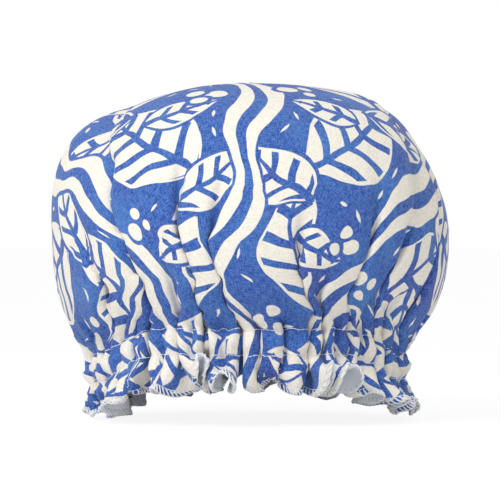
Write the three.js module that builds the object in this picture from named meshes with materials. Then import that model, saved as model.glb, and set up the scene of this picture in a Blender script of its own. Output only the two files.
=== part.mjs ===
// Shower cap: a disc of printed cloth and a disc of waterproof film, laid together, sewn with two
// rows of stitching that make a channel, overlocked round the edge, and gathered by a strip of
// elastic in the channel. Millimetres, +Z up, the front faces -Y, and the hem rests on Z = 0.
import * as THREE from "three";
import { mergeVertices } from "three/addons/utils/BufferGeometryUtils.js";

// Elastic, as it lies stretched in its channel
const RING_HALF_WIDTH = 84;
const RING_HALF_DEPTH = 90;
const ELASTIC_WIDTH = 6;
const ELASTIC_THICKNESS = 1;
const ELASTIC_LAP = 12;

// Layers and threads
const CLOTH_THICKNESS = 0.5;
const FILM_THICKNESS = 0.3;
const THREAD_DIAMETER = 0.5;
const GAP = 0.35;

// Widths between the sewn lines, measured on the cloth from the hem inwards
const OVERLOCK_WIDTH = 3.5;
const FRILL_WIDTH = 24;
const CHANNEL_WIDTH = 14.5;

// Crown, measured from the upper seam where it is lowest, at the two sides
const CROWN_HEIGHT = 157;
const CROWN_HALF_WIDTH = 113.5;
const CROWN_HALF_DEPTH = 119.5;
const BELLY_HEIGHT = 66;
const CROWN_SQUARENESS = 2.5;

// The ring and the hem arch up over the forehead and the nape, and are level at the sides. The level
// stretches are in degrees from the sides, and the full stretch is in degrees from the front.
const FRONT_LIFT = 16;
const FRONT_LEVEL_ARC = 18;
const FRONT_FULL_ARC = 32;
const BACK_LIFT = 12;
const BACK_LEVEL_ARC = 30;
const BELLY_LIFT_SHARE = 0.4;

// Main tucks, from the left side round by the front: where each stands on the ring and on the crown, in
// degrees from the front, and how high it runs up from the upper seam
const TUCKS = [
  { ring: -92, crown: -95, reach: 50 },
  { ring: -62, crown: -67, reach: 90 },
  { ring: -39, crown: -47, reach: 135 },
  { ring: -27, crown: -31, reach: 65 },
  { ring: -15, crown: -20, reach: 140 },
  { ring: -4, crown: -5, reach: 110 },
  { ring: 22, crown: 20, reach: 85 },
  { ring: 38, crown: 41, reach: 115 },
  { ring: 52, crown: 55, reach: 95 },
  { ring: 70, crown: 73, reach: 130 },
  { ring: 100, crown: 102, reach: 45 },
  { ring: 114, crown: 116, reach: 120 },
  { ring: 146, crown: 145, reach: 100 },
  { ring: 178, crown: 178, reach: 130 },
  { ring: 211, crown: 213, reach: 115 },
  { ring: 236, crown: 238, reach: 90 },
];
const REACH_STEADY_SHARE = 0.3;

// Gathers: each fold is a broad face between two tucks
const FACE_SHARE = 0.64;
const FACE_EDGE_SHARE = 0.8;
const FACE_STAND = 7;
const TUCK_DEPTH = 5;
const CHANNEL_PUFF = 2.5;
const SIDE_TUCK_DEPTH = 9;
const BELLY_FACE_STAND = 1;
const BELLY_TUCK_DEPTH = 10;
const WAIST_FACE_STAND = 4;
const WAIST_TUCK_DEPTH = 9;
const WAIST_GATHER = 0.2;
const WAIST_SHARE = 0.45;
const FLUTE_STAND = 10;
const FLUTE_DEPTH = 7;
const FRILL_FLARE = 6;

// Zigzag that joins the ends of the elastic
const ZIGZAG_PEAKS = 5;
const ZIGZAG_REACH = 1.6;
const ZIGZAG_MARGIN = 2;

// How finely the cloth and the zigzag are faceted
const COLUMNS_PER_FOLD = 4;
const SHOULDER_SHARE = 0.3;
const BROW_SHARE = 0.57;
const SIDE_SHARE = 0.8;
const MITRE_SLACK = 0.01;
const MERGE_DISTANCE = 1e-4;
const ZIGZAG_SIDES = 6;
const ZIGZAG_STEPS_PER_PEAK = 4;
const ZIGZAG_TENSION = 0.2;

const TURN = 2 * Math.PI;
const COLUMNS = TUCKS.length * COLUMNS_PER_FOLD;
const THREAD_RADIUS = THREAD_DIAMETER / 2;
const LAYER_PITCH = CLOTH_THICKNESS / 2 + GAP + FILM_THICKNESS / 2;

const { lerp, smoothstep, degToRad } = THREE.MathUtils;

// The shortest move that carries a point out by 1 along each of the normals, as nearly as it can.
function mitreOf(normals) {
  const sum = new THREE.Vector3();
  const spread = new THREE.Matrix3().multiplyScalar(MITRE_SLACK);
  for (const normal of normals) {
    sum.add(normal);
    normal.toArray().forEach((across, i) => {
      normal.toArray().forEach((down, j) => (spread.elements[3 * i + j] += across * down));
    });
  }
  return sum.applyMatrix3(spread.invert());
}

// A surface, collected as bands of triangles between rails. A rail is a list of points, one for each
// column, that runs once round the cap.
class Skin {
  constructor() {
    this.triangles = [];
  }

  triangle(a, b, c, turned) {
    this.triangles.push(turned ? [a, c, b] : [a, b, c]);
  }

  // The lower rail has as many points as the upper one, or twice as many, and the upper one may be
  // a single point. An open band doesn't join its last column to its first.
  band(upper, lower, { turned = false, open = false } = {}) {
    const steps = open ? upper.length - 1 : upper.length;
    const next = (rail, i) => rail[i % rail.length];
    if (upper.length === 1) {
      lower.forEach((point, i) => this.triangle(upper[0], point, next(lower, i + 1), turned));
      return;
    }
    const doubled = lower.length === 2 * upper.length;
    for (let i = 0; i < steps; i++) {
      const [a, b] = [upper[i], next(upper, i + 1)];
      if (doubled) {
        const [left, middle, right] = [0, 1, 2].map((k) => next(lower, 2 * i + k));
        this.triangle(a, left, middle, turned);
        this.triangle(a, middle, b, turned);
        this.triangle(b, middle, right, turned);
      } else {
        this.triangle(a, lower[i], next(lower, i + 1), turned);
        this.triangle(a, next(lower, i + 1), b, turned);
      }
    }
  }

  // Bands from each rail to the next.
  sheet(rails, options) {
    rails.slice(1).forEach((rail, i) => this.band(rails[i], rail, options));
  }

  // The move of each point that carries every facet round it out by 1. Level points keep their height.
  mitres(levelPoints) {
    const level = new Set(levelPoints);
    const normals = new Map();
    for (const [a, b, c] of this.triangles) {
      const normal = new THREE.Triangle(a, b, c).getNormal(new THREE.Vector3());
      for (const point of [a, b, c]) {
        const around = normals.get(point) ?? [];
        around.push(level.has(point) ? normal.clone().setZ(0) : normal);
        normals.set(point, around);
      }
    }
    return new Map([...normals].map(([point, around]) => [point, mitreOf(around)]));
  }

  geometry() {
    const points = this.triangles.flat();
    return mergeVertices(new THREE.BufferGeometry().setFromPoints(points), MERGE_DISTANCE);
  }
}

// Where the columns stand round the cap. Each fold has four: its tuck, the left edge of its face, the
// middle of the face, and the face's right edge.
function foldColumns() {
  const parts = [
    { place: 0, face: FACE_EDGE_SHARE },
    { place: (1 - FACE_SHARE) / 2, face: FACE_EDGE_SHARE },
    { place: 0.5, face: 1 },
    { place: (1 + FACE_SHARE) / 2, face: FACE_EDGE_SHARE },
  ];
  return TUCKS.flatMap((tuck, k) => {
    const next = TUCKS[(k + 1) % TUCKS.length];
    const angle = (name, place) => {
      const start = degToRad(tuck[name]) - TURN / 4;
      const end = degToRad(next[name]) - TURN / 4;
      return lerp(start, end < start ? end + TURN : end, place);
    };
    return parts.map(({ place, face }) => ({
      crown: angle("crown", place),
      ring: angle("ring", place),
      face,
      reach: place === 0 ? tuck.reach : 0,
    }));
  });
}

// How deep a tuck still is, as a share, at a height above the upper seam.
function tuckShare(reach, height) {
  return Math.sqrt(1 - smoothstep(height, REACH_STEADY_SHARE * reach, reach));
}

// How far the ring has arched up at an angle.
function liftAt(angle) {
  const facing = Math.sin(angle);
  if (facing < 0) {
    const full = Math.cos(degToRad(FRONT_FULL_ARC));
    return FRONT_LIFT * smoothstep(-facing, Math.sin(degToRad(FRONT_LEVEL_ARC)), full);
  }
  return BACK_LIFT * smoothstep(facing, Math.sin(degToRad(BACK_LEVEL_ARC)), 1);
}

// Heights of the sewn lines at the sides, where the overlocked hem touches the table
const HEM_HEIGHT = THREAD_DIAMETER + GAP;
const LOWER_SEAM_HEIGHT = HEM_HEIGHT + Math.sqrt(FRILL_WIDTH ** 2 - FRILL_FLARE ** 2);
const UPPER_SEAM_HEIGHT = LOWER_SEAM_HEIGHT + CHANNEL_WIDTH;
const ELASTIC_HEIGHT = LOWER_SEAM_HEIGHT + CHANNEL_WIDTH / 2;
const OVERLOCK_SHARE = 1 - OVERLOCK_WIDTH / FRILL_WIDTH;

// One level of the cap: its height at the sides, its half sizes without folds, how far its faces stand
// out and its tucks go in, and how far its columns have drawn together.
function level(height, stand, depth, more = {}) {
  return {
    height,
    stand,
    depth,
    halfWidth: RING_HALF_WIDTH,
    halfDepth: RING_HALF_DEPTH,
    gather: 1,
    liftShare: 1,
    limit: (out) => out,
    columns: COLUMNS,
    ...more,
  };
}

// The crown is a superellipse: share runs from 0 at the top to 1 at the belly.
function crownLevel(share, columns, folds = {}) {
  const angle = (share * Math.PI) / 2;
  const out = Math.sin(angle) ** (2 / CROWN_SQUARENESS);
  const rise = Math.cos(angle) ** (2 / CROWN_SQUARENESS);
  return level(UPPER_SEAM_HEIGHT + lerp(BELLY_HEIGHT, CROWN_HEIGHT, rise), 0, 0, {
    halfWidth: CROWN_HALF_WIDTH * out,
    halfDepth: CROWN_HALF_DEPTH * out,
    gather: 0,
    liftShare: BELLY_LIFT_SHARE * share ** 2,
    columns,
    ...folds,
  });
}

// Below the belly the cloth draws in to the upper seam.
function waistLevel() {
  const out = Math.sin((WAIST_SHARE * Math.PI) / 2);
  return level(UPPER_SEAM_HEIGHT + BELLY_HEIGHT * WAIST_SHARE, WAIST_FACE_STAND, WAIST_TUCK_DEPTH, {
    halfWidth: lerp(RING_HALF_WIDTH, CROWN_HALF_WIDTH, out),
    halfDepth: lerp(RING_HALF_DEPTH, CROWN_HALF_DEPTH, out),
    gather: WAIST_GATHER,
    liftShare: lerp(1, BELLY_LIFT_SHARE, WAIST_SHARE),
  });
}

// The frill hangs from the lower seam: share runs from 0 there to 1 at the hem.
function frillLevel(share) {
  const flare = FRILL_FLARE * share;
  return level(
    lerp(LOWER_SEAM_HEIGHT, HEM_HEIGHT, share),
    lerp(FACE_STAND, FLUTE_STAND, share),
    lerp(TUCK_DEPTH, FLUTE_DEPTH, share),
    { halfWidth: RING_HALF_WIDTH + flare, halfDepth: RING_HALF_DEPTH + flare },
  );
}

// Over the elastic the two layers part: the faces of the cloth puff out and its tucks stop outside the
// elastic, and the faces of the film stop inside it.
function channelLevel(up, layer) {
  const elasticFace = ELASTIC_THICKNESS + GAP / 2 + GAP;
  const clothStop = elasticFace + CLOTH_THICKNESS;
  const filmStop = elasticFace + FILM_THICKNESS;
  const limit =
    layer === "cloth" ? (out) => Math.max(out, clothStop) : (out) => Math.min(out, -filmStop);
  return level(ELASTIC_HEIGHT + up, FACE_STAND + CHANNEL_PUFF, TUCK_DEPTH, { limit, parted: true });
}

function levelsOf(layer) {
  const halfElastic = ELASTIC_WIDTH / 2 + GAP;
  return {
    shoulder: crownLevel(SHOULDER_SHARE, COLUMNS / 2),
    brow: crownLevel(BROW_SHARE, COLUMNS / 2),
    side: crownLevel(SIDE_SHARE, COLUMNS / 2, { depth: SIDE_TUCK_DEPTH }),
    belly: crownLevel(1, COLUMNS, { stand: BELLY_FACE_STAND, depth: BELLY_TUCK_DEPTH }),
    waist: waistLevel(),
    upperSeam: level(UPPER_SEAM_HEIGHT, FACE_STAND, TUCK_DEPTH),
    elasticTop: channelLevel(halfElastic, layer),
    elasticFoot: channelLevel(-halfElastic, layer),
    lowerSeam: frillLevel(0),
    overlock: frillLevel(OVERLOCK_SHARE),
    hem: frillLevel(1),
  };
}

const columns = foldColumns();

// The points of one level, one for each of its columns.
function railOf({ height, stand, depth, halfWidth, halfDepth, gather, liftShare, limit, columns: count }) {
  const every = COLUMNS / count;
  return columns
    .filter((_, i) => i % every === 0)
    .map(({ crown, ring, face, reach }) => {
      const angle = lerp(crown, ring, gather);
      const tucked = reach ? tuckShare(reach, height - UPPER_SEAM_HEIGHT) : 0;
      const out = limit(lerp(face * stand, -depth, tucked));
      return new THREE.Vector3(
        (halfWidth + out) * Math.cos(angle),
        (halfDepth + out) * Math.sin(angle),
        height + liftShare * liftAt(angle),
      );
    });
}

// The middle surface of a layer: its rails by name, from the top point to the hem, and a function that
// gives any of them at a distance from it. The hem keeps its height, so that its lower edge is level.
function layerSurface(rails) {
  const skin = new Skin();
  skin.sheet(Object.values(rails));
  const mitres = skin.mitres(rails.hem);
  const offset = (name, distance) =>
    rails[name].map((point) => point.clone().addScaledVector(mitres.get(point), distance));
  return { rails, offset };
}

function clothSurface() {
  const rails = { top: [new THREE.Vector3(0, 0, UPPER_SEAM_HEIGHT + CROWN_HEIGHT)] };
  for (const [name, spec] of Object.entries(levelsOf("cloth"))) rails[name] = railOf(spec);
  return layerSurface(rails);
}

// The film lies inside the cloth, one layer in, and leaves it only over the elastic.
function filmSurface(cloth) {
  const specs = levelsOf("film");
  const rails = {};
  for (const name of Object.keys(cloth.rails)) {
    rails[name] = specs[name]?.parted ? railOf(specs[name]) : cloth.offset(name, -LAYER_PITCH);
  }
  return layerSurface(rails);
}

// A layer of that thickness, closed round the hem.
function shell({ rails, offset }, thickness) {
  const outside = Object.keys(rails).map((name) => offset(name, thickness / 2));
  const inside = Object.keys(rails).map((name) => offset(name, -thickness / 2));
  const skin = new Skin();
  skin.sheet(outside);
  skin.sheet(inside, { turned: true });
  skin.band(outside.at(-1), inside.at(-1));
  return skin.geometry();
}

// A rail slid along the layer towards another one.
function slide(rail, goal, by) {
  return rail.map((point, i) => point.clone().lerp(goal[i], by / point.distanceTo(goal[i])));
}

// A thread that lies along one rail, between its neighbours above and below, at a distance from the
// layer's middle surface.
function threadAlong({ offset }, [above, name, below], distance) {
  const middle = offset(name, distance);
  const upper = slide(middle, offset(above, distance), THREAD_RADIUS);
  const lower = slide(middle, offset(below, distance), THREAD_RADIUS);
  const outer = offset(name, distance + THREAD_RADIUS);
  const inner = offset(name, distance - THREAD_RADIUS);
  const skin = new Skin();
  skin.sheet([upper, outer, lower, inner, upper]);
  return skin.geometry();
}

// The looper threads of the overlock lie so close that they wrap the hem as one band, from the needle
// thread on the cloth's face, round the edge, to the film's face.
function overlockWrap({ offset }) {
  const faceSide = CLOTH_THICKNESS / 2 + GAP;
  const filmSide = -(LAYER_PITCH + FILM_THICKNESS / 2 + GAP);
  const [faceOut, filmOut] = [faceSide + THREAD_DIAMETER, filmSide - THREAD_DIAMETER];
  const topEdge = (distance) =>
    slide(offset("overlock", distance), offset("hem", distance), THREAD_RADIUS + GAP);
  const foot = (distance, drop) => offset("hem", distance).map((point) => point.setZ(point.z - drop));
  const underHem = GAP;
  const lowest = GAP + THREAD_DIAMETER;
  const skin = new Skin();
  skin.band(topEdge(faceOut), foot(faceOut, lowest));
  skin.band(foot(faceOut, lowest), foot(filmOut, lowest));
  skin.band(topEdge(filmOut), foot(filmOut, lowest), { turned: true });
  skin.band(topEdge(filmSide), foot(filmSide, underHem));
  skin.band(foot(faceSide, underHem), foot(filmSide, underHem), { turned: true });
  skin.band(topEdge(faceSide), foot(faceSide, underHem), { turned: true });
  skin.band(topEdge(faceSide), topEdge(faceOut));
  skin.band(topEdge(filmOut), topEdge(filmSide));
  return skin.geometry();
}

// The elastic spirals out by its own thickness in one turn, so that its ends lap flat at the back.
const faceMiddles = columns.filter(({ face }) => face === 1).map(({ ring }) => ring);
const lapMiddle = faceMiddles.reduce((back, angle) => (Math.sin(angle) > Math.sin(back) ? angle : back));
const lapTurn = ELASTIC_LAP / RING_HALF_DEPTH;

function elasticPoint(share, out, up) {
  const angle = lapMiddle - lapTurn / 2 + share * (TURN + lapTurn);
  const spiral = lerp(-1, 1, share) * ((ELASTIC_THICKNESS + GAP) / 2);
  return new THREE.Vector3(
    (RING_HALF_WIDTH + spiral + out) * Math.cos(angle),
    (RING_HALF_DEPTH + spiral + out) * Math.sin(angle),
    ELASTIC_HEIGHT + liftAt(angle) + up,
  );
}

function elasticBand() {
  const shares = Array.from({ length: COLUMNS + 1 }, (_, i) => i / COLUMNS);
  const rail = (out, up) =>
    shares.map((share) => elasticPoint(share, (out * ELASTIC_THICKNESS) / 2, (up * ELASTIC_WIDTH) / 2));
  const [topIn, topOut, footOut, footIn] = [rail(-1, 1), rail(1, 1), rail(1, -1), rail(-1, -1)];
  const skin = new Skin();
  skin.sheet([topIn, topOut, footOut, footIn, topIn], { open: true });
  for (const [end, turned] of [[0, true], [COLUMNS, false]]) {
    skin.triangle(topIn[end], topOut[end], footOut[end], turned);
    skin.triangle(topIn[end], footOut[end], footIn[end], turned);
  }
  return skin.geometry();
}

// Zigzag stitches over the lap, on the outer end of the elastic.
function elasticJoin() {
  const lapShare = lapTurn / (TURN + lapTurn);
  const stand = ELASTIC_THICKNESS / 2 + GAP + THREAD_RADIUS;
  const margin = ZIGZAG_MARGIN / ELASTIC_LAP;
  const peaks = Array.from({ length: ZIGZAG_PEAKS + 1 }, (_, i) => {
    const along = lerp(margin, 1 - margin, i / ZIGZAG_PEAKS);
    return elasticPoint(1 - lapShare * along, stand, i % 2 ? ZIGZAG_REACH : -ZIGZAG_REACH);
  });
  const round = new THREE.EllipseCurve(0, 0, THREAD_RADIUS, THREAD_RADIUS);
  const section = new THREE.Shape(round.getPoints(ZIGZAG_SIDES));
  const path = new THREE.CatmullRomCurve3(peaks, false, "catmullrom", ZIGZAG_TENSION);
  const steps = ZIGZAG_PEAKS * ZIGZAG_STEPS_PER_PEAK;
  return new THREE.ExtrudeGeometry(section, { steps, extrudePath: path, bevelEnabled: false });
}

const finishes = {
  print: { color: 0x4a70bd, roughness: 0.85 },
  film: { color: 0xdfe6ee, roughness: 0.4 },
  elastic: { color: 0xf4f3ee, roughness: 0.8 },
  thread: { color: 0xf3f4f6, roughness: 0.7 },
};

const cap = new THREE.Group();

function add(name, geometry, finish) {
  const material = new THREE.MeshStandardMaterial({ ...finishes[finish], metalness: 0 });
  const mesh = new THREE.Mesh(geometry, material);
  mesh.name = name;
  cap.add(mesh);
}

const cloth = clothSurface();
const film = filmSurface(cloth);
const onCloth = CLOTH_THICKNESS / 2 + GAP + THREAD_RADIUS;
const onFilm = -(FILM_THICKNESS / 2 + GAP + THREAD_RADIUS);
const upperSeam = ["waist", "upperSeam", "elasticTop"];
const lowerSeam = ["elasticFoot", "lowerSeam", "overlock"];
const overlockLine = ["lowerSeam", "overlock", "hem"];

add("outer_fabric", shell(cloth, CLOTH_THICKNESS), "print");
add("waterproof_lining", shell(film, FILM_THICKNESS), "film");
add("elastic_band", elasticBand(), "elastic");
add("elastic_join_stitching", elasticJoin(), "thread");
add("upper_seam_needle_thread", threadAlong(cloth, upperSeam, onCloth), "thread");
add("upper_seam_bobbin_thread", threadAlong(film, upperSeam, onFilm), "thread");
add("lower_seam_needle_thread", threadAlong(cloth, lowerSeam, onCloth), "thread");
add("lower_seam_bobbin_thread", threadAlong(film, lowerSeam, onFilm), "thread");
add("overlock_needle_thread", threadAlong(cloth, overlockLine, onCloth), "thread");
add("overlock_looper_wrap", overlockWrap(cloth), "thread");

export default cap;
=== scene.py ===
import bpy
import numpy as np
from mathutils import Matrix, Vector


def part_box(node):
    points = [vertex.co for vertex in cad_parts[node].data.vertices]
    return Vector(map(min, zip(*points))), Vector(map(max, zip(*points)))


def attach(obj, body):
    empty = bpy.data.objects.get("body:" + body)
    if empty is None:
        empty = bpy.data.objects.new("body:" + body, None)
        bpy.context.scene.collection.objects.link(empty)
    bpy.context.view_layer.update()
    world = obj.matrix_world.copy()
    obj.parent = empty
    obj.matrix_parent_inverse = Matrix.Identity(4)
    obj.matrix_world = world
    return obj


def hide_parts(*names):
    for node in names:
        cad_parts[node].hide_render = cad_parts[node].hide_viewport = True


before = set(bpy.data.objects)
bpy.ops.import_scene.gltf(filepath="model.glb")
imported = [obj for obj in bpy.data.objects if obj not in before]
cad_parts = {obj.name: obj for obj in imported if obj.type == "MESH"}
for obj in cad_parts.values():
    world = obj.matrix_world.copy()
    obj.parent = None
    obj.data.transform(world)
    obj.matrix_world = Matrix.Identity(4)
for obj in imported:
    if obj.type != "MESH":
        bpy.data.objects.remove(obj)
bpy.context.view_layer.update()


# Outer fabric
# One disc of plain-weave cotton, printed blue and ivory, cut together with the lining.
# The elastic in its channel gathers both discs into a cap, and the rest hangs below as a frill.
ring_low, ring_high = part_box("elastic_band")
cap_low, cap_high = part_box("outer_fabric")
cloth_thickness = 0.0005
layer_gap = 0.0002
elastic_width = 0.006
channel_width = 0.0145
channel_slack = 1.08
frill_width = 0.024
overlock_width = 0.0035
face_stand = 0.005
fold_room = 0.0005
belly_rise = 0.066
squareness = 2.5
belly_lift_share = 0.4
crown_steps = 400
side_steps = 200

ring_half = [(ring_high[i] - ring_low[i]) / 2 for i in (0, 1)]
crown_half = [(cap_high[i] - cap_low[i]) / 2 - fold_room for i in (0, 1)]
face_half = [half + face_stand for half in ring_half]
elastic_height = ring_low[2] + elastic_width / 2
upper_height = elastic_height + channel_width / 2
lower_height = elastic_height - channel_width / 2
belly_height = upper_height + belly_rise
crown_height = cap_high[2] - cloth_thickness


def smooth(value, start, end):
    """A smooth step from 0 at start to 1 at end."""
    share = np.clip((value - start) / (end - start), 0, 1)
    return share * share * (3 - 2 * share)


def outline():
    """The cap's outline without its folds, from the crown's middle to the lower seam.

    Each row is half width, half depth, height and share of the hem's lift.
    """
    turn = np.linspace(0, np.pi / 2, crown_steps)
    out = np.sin(turn) ** (2 / squareness)
    up = np.cos(turn) ** (2 / squareness)
    height = belly_height + (crown_height - belly_height) * up
    lifted = belly_lift_share * (turn * 2 / np.pi) ** 2
    crown = np.stack([crown_half[0] * out, crown_half[1] * out, height, lifted], 1)
    down = np.linspace(0, 1, side_steps)[1:]
    out = np.cos(down * np.pi / 2)
    waist = [face_half[i] + (crown_half[i] - face_half[i]) * out for i in (0, 1)]
    height = belly_height - belly_rise * down
    side = np.stack([*waist, height, belly_lift_share + (1 - belly_lift_share) * down], 1)
    channel = np.array([[*face_half, lower_height, 1]])
    return np.concatenate([crown, side, channel])


rail = outline()
mean_half = (rail[:, 0] + rail[:, 1]) / 2
steps = np.hypot(np.diff(mean_half), np.diff(rail[:, 2]))
steps[-1] *= channel_slack
rail_distance = np.concatenate([[0], np.cumsum(steps)])
lower_seam = rail_distance[-1]
upper_seam = rail_distance[-2]
belly = float(np.interp(-belly_height, -rail[:, 2], rail_distance))
cut_radius = lower_seam + frill_width
overlock_line = cut_radius - overlock_width
belly_half = float(np.interp(belly, rail_distance, mean_half))
ring_mean = float(np.interp(upper_seam, rail_distance, mean_half))

# How many times longer than the cap's outline the gathered cloth is, round the cap
belly_fullness = 1.22
ring_fullness = 2.15
hem_fullness = 2.35
fullness_starts = 0.095
fullness_power = 1.6


def gathered_radius(distance):
    """Length of cloth round the cap at a distance from the crown's middle, over two pi, unstretched."""
    radius = np.interp(distance, rail_distance, mean_half)
    swell = np.clip((distance - fullness_starts) / (belly - fullness_starts), 0, 1) ** fullness_power
    crown = radius * (1 + (belly_fullness - 1) * swell)
    lines = [belly, upper_seam, cut_radius]
    lengths = [belly_half * belly_fullness, ring_mean * ring_fullness, ring_mean * hem_fullness]
    return np.where(distance < belly, crown, np.interp(distance, lines, lengths))


def hang_share(distance):
    """0 down to the lower seam, and from there to 1 at the hem."""
    return np.clip((distance - lower_seam) / frill_width, 0, 1)


# Tucks in front, from left to right: degrees round the ring, degrees on the crown, reach up the crown
front_tucks = [
    (-92, -95, 0.050), (-83, -86, 0.014), (-76, -80, 0.030), (-69, -74, 0.012), (-62, -67, 0.090),
    (-55, -60, 0.018), (-47, -55, 0.026), (-39, -47, 0.160), (-33, -38, 0.012), (-27, -31, 0.065),
    (-21, -25, 0.014), (-15, -20, 0.165), (-10, -13, 0.012), (-4, -5, 0.120), (4, 2, 0.018),
    (12, 10, 0.014), (22, 20, 0.085), (28, 29, 0.050), (33, 35, 0.012), (38, 41, 0.115),
    (45, 48, 0.020), (52, 55, 0.095), (60, 63, 0.040), (65, 68, 0.014), (70, 73, 0.130),
    (77, 79, 0.016), (84, 86, 0.040),
]
back_tucks = [
    (92, 94, 0.016), (100, 102, 0.045), (107, 109, 0.014), (114, 116, 0.120), (122, 122, 0.020),
    (131, 130, 0.060), (139, 137, 0.014), (146, 145, 0.100), (155, 153, 0.018), (164, 162, 0.040),
    (171, 170, 0.014), (178, 178, 0.130), (187, 187, 0.016), (195, 197, 0.055), (203, 205, 0.014),
    (211, 213, 0.115), (219, 221, 0.018), (227, 229, 0.045), (236, 238, 0.090), (245, 246, 0.016),
    (254, 255, 0.060), (261, 259, 0.014),
]
least_tuck = 0.45
longest_reach = 0.165
reach_for_one = 0.06
main_reach = 0.024
fold_seed = 3
random = np.random.default_rng(fold_seed)
tuck_ring, tuck_crown, tuck_reach = np.array(front_tucks + back_tucks).T
tuck_ring = np.radians(tuck_ring)
tuck_crown = np.radians(tuck_crown)
tuck_count = len(tuck_reach)
ring_widths = np.diff(np.append(tuck_ring, tuck_ring[0] + 2 * np.pi))
crown_widths = np.diff(np.append(tuck_crown, tuck_crown[0] + 2 * np.pi))
tuck_place = np.concatenate([[0], np.cumsum(crown_widths)[:-1]]) / (2 * np.pi)
fold_spare = float(gathered_radius(upper_seam)) * crown_widths - ring_mean * ring_widths
tuck_weight = least_tuck + np.minimum(tuck_reach, longest_reach) / reach_for_one
tuck_size = (fold_spare + np.roll(fold_spare, 1)) * tuck_weight
main_tuck = tuck_reach >= main_reach

# Flutes that flip up, roll under or hang straight: degrees round the ring, spread and tilt in degrees
flips = [
    (-82, 10, 6), (-64, 8, 4), (-46, 4, 62), (-21, 6, 80), (9, 8, -60), (26, 6, 88), (58, 6, 52),
    (80, 9, 12), (110, 7, 55), (150, 8, 60), (185, 7, 50), (225, 8, 65),
]
most_sway = 0.004
mean_tilt = 12
tilt_spread = 14
least_tilt = -12
most_tilt = 74
valley_share = -0.65
flute_middle = np.degrees(tuck_ring + ring_widths / 2)


def flare(most, middle, spread):
    """Degrees that the flutes on one side of the cap stand out by."""
    return most * np.exp(-((flute_middle - middle) / spread) ** 4)


flute_sway = random.normal(size=tuck_count) * most_sway
front_flare = flare(most=56, middle=2, spread=46)
back_flare = flare(most=18, middle=178, spread=62)
flute_tilt = mean_tilt + random.normal(size=tuck_count) * tilt_spread + front_flare + back_flare
flute_tilt = np.clip(flute_tilt, least_tilt, most_tilt)
for place, spread, tilt in flips:
    flute_tilt += (tilt - flute_tilt) * np.exp(-((flute_middle - place) / spread) ** 2)
flute_tilt = np.radians(flute_tilt)
valley_tilt = np.radians(valley_share * front_flare)

# The ring and the hem arch up in front and behind, and are level at the sides
front_lift = 0.016
front_level_arc = np.radians(18)
front_full_arc = np.radians(32)
back_lift = 0.012
back_level_arc = np.radians(30)


def lift(angle):
    """How far the front and back of the ring arch up, at an angle from the front."""
    facing = np.cos(angle)
    front = front_lift * smooth(facing, np.sin(front_level_arc), np.cos(front_full_arc))
    back = back_lift * smooth(-facing, np.sin(back_level_arc), 1)
    return front + back


fold_steps = 61
roundness = 0.16
most_rounding = 0.005
bend_place = 0.62
bend_spread = 0.62
least_wall = 1e-9
steepest = 2.4
search_steps = 26


def fold_curve(length, span, left_wall, right_wall, softness):
    """Points along one fold: way along the cloth, across, and in or out, with a wall at each end."""
    along = np.linspace(0, length, fold_steps)
    rounding = min(roundness * length, most_rounding)
    left = max(left_wall * bend_place, softness, rounding)
    right = max(right_wall * bend_place, softness, rounding)
    larger = max(left_wall, right_wall, least_wall)
    rise = np.exp(-((along - left) / (bend_spread * left)) ** 2) * np.sqrt(left_wall / larger)
    fall = np.exp(-((length - along - right) / (bend_spread * right)) ** 2) * np.sqrt(right_wall / larger)
    least, most = 0.0, steepest
    for _ in range(search_steps):
        steepness = (least + most) / 2
        across = np.cos(steepness * (rise - fall))
        if across.mean() * length > span:
            least = steepness
        else:
            most = steepness
    slope = steepness * (rise - fall)
    step = along[1]
    across = np.cumsum(np.cos((slope[1:] + slope[:-1]) / 2)) * step
    out = np.cumsum(np.sin((slope[1:] + slope[:-1]) / 2)) * step
    across = np.concatenate([[0], across]) * span / across[-1]
    out = np.concatenate([[0], out])
    return along / length, across, out - out.max()


def blurred(values, width):
    """Values round a ring, averaged over a window."""
    window = np.hanning(2 * width + 3)
    window /= window.sum()
    ends = np.concatenate([values[-width - 1:], values, values[:width + 1]])
    return np.convolve(ends, window, "valid")


# How the tucks fade up the crown and down the frill
fade_starts = 0.3
fade_ends = 1.15
frill_fade = 0.9
least_live = 1e-3
least_shared = 0.3


def live_tucks(above, hang):
    """The tucks that reach a row, and the share of the spare cloth that each one folds there."""
    size = tuck_size * (1 - smooth(above, fade_starts * tuck_reach, fade_ends * tuck_reach)) ** 2
    size = size * np.where(main_tuck, 1, 1 - frill_fade * hang)
    live = np.flatnonzero(size > least_live * tuck_size.max())
    return live, size[live] / max(size[live].sum(), least_shared * tuck_size.sum())


hem_stretch = 0.28
least_span = 0.15
ring_hold = 0.012
seam_softness = 0.0012
crown_softness = 0.0038
softens_from = 0.005
softens_to = 0.070
most_softness = 0.3
fine_steps = 6000
fold_blur = 0.0025
hem_blur = 0.0035
centring = 0.3
centred_by = 0.030


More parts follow.
